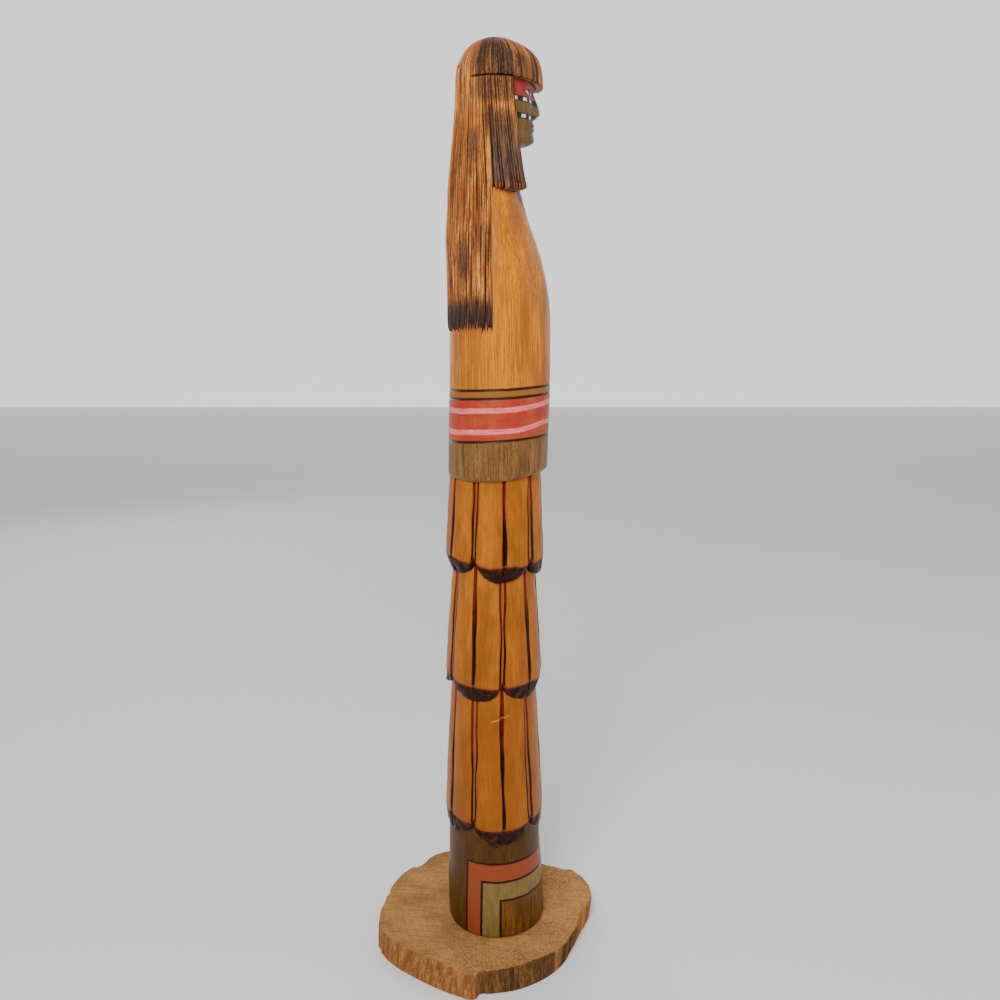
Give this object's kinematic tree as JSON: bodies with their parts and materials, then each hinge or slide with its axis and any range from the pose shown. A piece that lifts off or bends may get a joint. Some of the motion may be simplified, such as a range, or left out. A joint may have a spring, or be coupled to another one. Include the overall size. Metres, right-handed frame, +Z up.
{
  "type": "carved totem figure",
  "caption": "Slim carved and painted wooden figure with long hair and a feathered skirt, standing on a raw slice of log.",
  "frame": {"origin": "on the slice's underside, below the middle of the figure's foot", "axes": "+Z up, and the figure faces -Y"},
  "size_m": [0.1144, 0.1205, 0.473],
  "materials": {
    "raw_log_slice": "raw sawn",
    "stained_carving": "satin varnish"
  },
  "bodies": {
    "root": {"log_slice_base": "raw_log_slice", "carved_figure": "stained_carving"}
  },
  "joints": []
}
